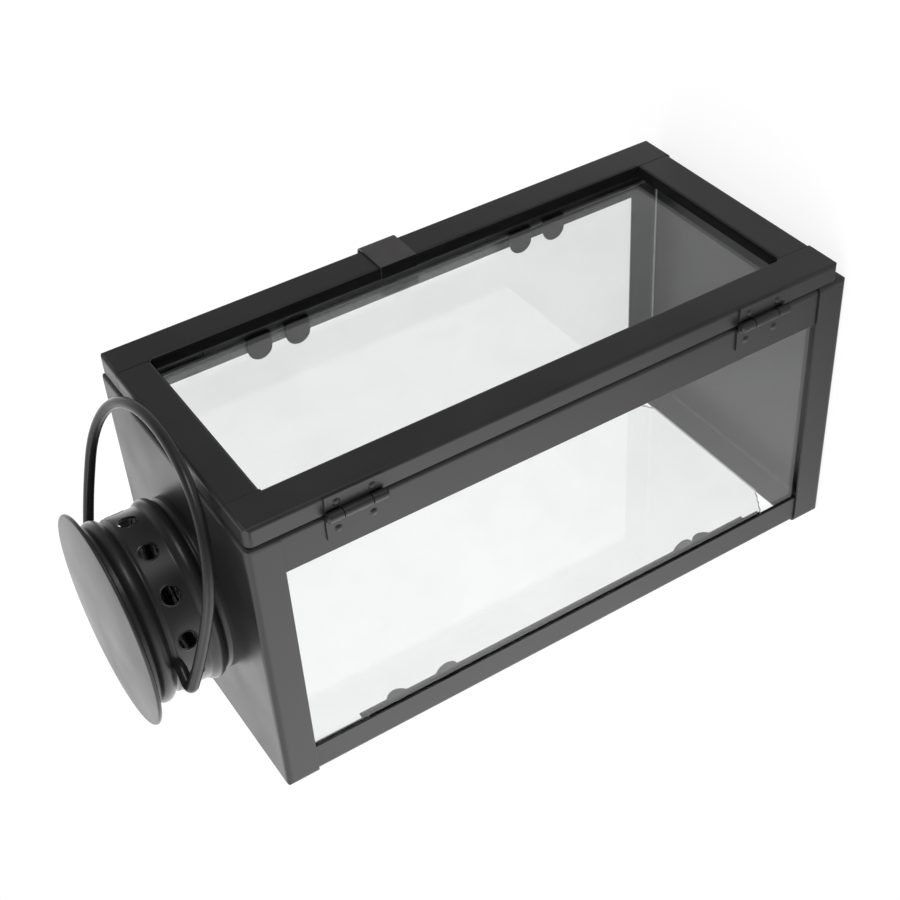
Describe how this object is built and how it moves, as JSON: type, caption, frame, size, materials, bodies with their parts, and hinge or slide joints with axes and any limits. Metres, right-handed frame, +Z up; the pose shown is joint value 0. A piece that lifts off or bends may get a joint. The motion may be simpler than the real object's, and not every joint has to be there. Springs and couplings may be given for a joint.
{
  "type": "candle lantern",
  "caption": "Square sheet-steel candle lantern with three glass panes, a hinged glazed door, a vented round chimney and a swinging wire bail.",
  "frame": {"origin": "middle of the base's underside, on the surface that the lantern stands on", "axes": "+Z up through the chimney, +Y from the door to the back, +X to the right as seen from the door"},
  "size_m": [0.1205, 0.131, 0.2817],
  "materials": {
    "body_paint": "satin",
    "bail_paint": "satin",
    "hardware_paint": "satin",
    "window_glass": "gloss"
  },
  "bodies": {
    "lantern": {"base_pan": "body_paint", "roof_pan": "body_paint", "post_front_left": "body_paint", "post_front_right": "body_paint", "post_back_left": "body_paint", "post_back_right": "body_paint", "glass_left": "window_glass", "glass_right": "window_glass", "glass_back": "window_glass", "strip_front_left": "body_paint", "strip_front_right": "body_paint", "strip_back_left": "body_paint", "strip_back_right": "body_paint", "chimney_tube": "body_paint", "chimney_cap": "body_paint", "hinge_leaf_body_upper": "hardware_paint", "hinge_leaf_body_lower": "hardware_paint", "hinge_pin_upper": "hardware_paint", "hinge_pin_lower": "hardware_paint", "rivets_body": "hardware_paint"},
    "door": {"door_stile_hinge": "body_paint", "door_stile_latch": "body_paint", "door_rail_top": "body_paint", "door_rail_bottom": "body_paint", "door_glass": "window_glass", "door_glass_clips": "hardware_paint", "door_latch": "body_paint", "hinge_leaf_door_upper": "hardware_paint", "hinge_leaf_door_lower": "hardware_paint", "rivets_door": "hardware_paint"},
    "bail": {"bail_handle": "bail_paint"}
  },
  "joints": [
    {"name": "door_hinge", "type": "hinge", "parent": "lantern", "child": "door", "pos_m": [-0.05838, -0.0583, 0.1247], "axis": [0, 0, -1], "range_deg": [0, 180]},
    {"name": "bail_pivot", "type": "hinge", "parent": "lantern", "child": "bail", "pos_m": [0, 0, 0.2687], "axis": [1, 0, 0], "range_deg": [-214, 0]}
  ]
}
